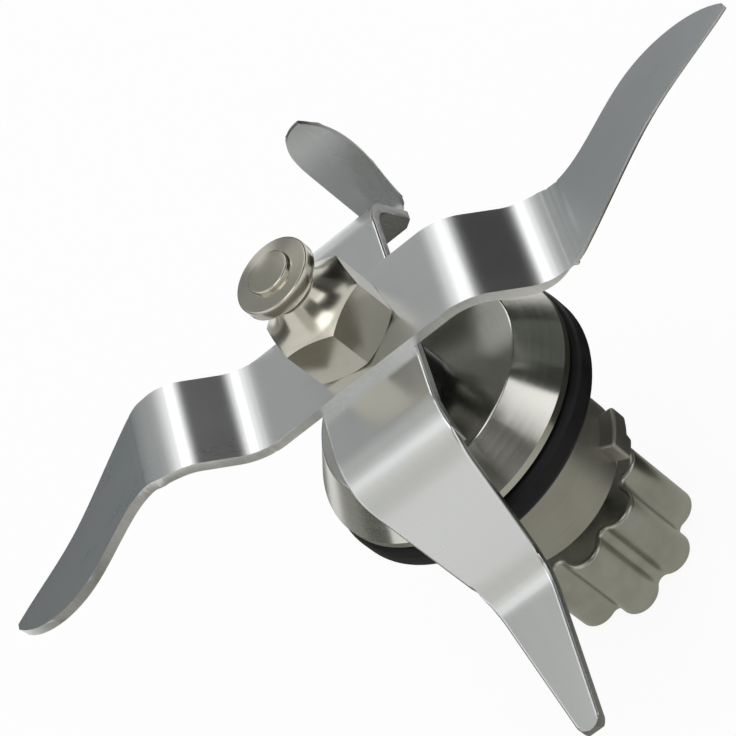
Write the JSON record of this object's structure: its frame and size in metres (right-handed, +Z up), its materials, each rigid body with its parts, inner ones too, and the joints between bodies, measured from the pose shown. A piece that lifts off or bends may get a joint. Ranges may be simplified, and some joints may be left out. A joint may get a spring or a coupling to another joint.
{
  "type": "blender blade assembly",
  "caption": "Blender blade assembly with crossed folded steel blades, cap nut, sealed bearing housing with rubber ring and bayonet lugs, and lobed drive coupling.",
  "frame": {"origin": "centre of the drive coupling's underside, on the shaft's axis", "axes": "+Z up along the shaft to the cap nut, +X along one arm of the upper blade"},
  "size_m": [0.1046, 0.068, 0.0633],
  "materials": {
    "blade_steel": "satin",
    "turned_steel": "satin",
    "nut_steel": "polished",
    "sintered_steel": "matte",
    "bearing_steel": "polished",
    "black_rubber": "satin"
  },
  "bodies": {
    "housing_group": {"housing": "turned_steel", "housing_ring": "black_rubber", "shaft_seal": "black_rubber", "seal_insert": "bearing_steel", "seal_spring": "bearing_steel", "outer_spacer": "bearing_steel", "retaining_ring": "bearing_steel", "upper_bearing_outer_ring": "bearing_steel", "upper_bearing_foot_shield": "bearing_steel", "upper_bearing_head_shield": "bearing_steel", "lower_bearing_outer_ring": "bearing_steel", "lower_bearing_foot_shield": "bearing_steel", "lower_bearing_head_shield": "bearing_steel"},
    "rotor": {"cap_nut": "nut_steel", "upper_blade": "blade_steel", "lower_blade": "blade_steel", "shaft": "bearing_steel", "inner_spacer": "bearing_steel", "coupling_spacer": "bearing_steel", "drive_coupling": "sintered_steel", "coupling_washer": "bearing_steel", "coupling_screw": "bearing_steel", "upper_bearing_inner_ring": "bearing_steel", "lower_bearing_inner_ring": "bearing_steel"},
    "upper_bearing_ball_set": {"upper_bearing_balls": "bearing_steel", "upper_bearing_cage": "bearing_steel"},
    "lower_bearing_ball_set": {"lower_bearing_balls": "bearing_steel", "lower_bearing_cage": "bearing_steel"}
  },
  "joints": [
    {"name": "shaft_spin", "type": "hinge", "parent": "housing_group", "child": "rotor", "pos_m": [0, 0, 0.03], "axis": [0, 0, 1], "continuous": true},
    {"name": "upper_bearing_roll", "type": "hinge", "parent": "housing_group", "child": "upper_bearing_ball_set", "pos_m": [0, 0, 0.03], "axis": [0, 0, 1], "continuous": true},
    {"name": "lower_bearing_roll", "type": "hinge", "parent": "housing_group", "child": "lower_bearing_ball_set", "pos_m": [0, 0, 0.0213], "axis": [0, 0, 1], "continuous": true}
  ],
  "couplings": [
    {"joint": "upper_bearing_roll", "follows": "shaft_spin", "ratio": 0.3589},
    {"joint": "lower_bearing_roll", "follows": "shaft_spin", "ratio": 0.3589}
  ]
}
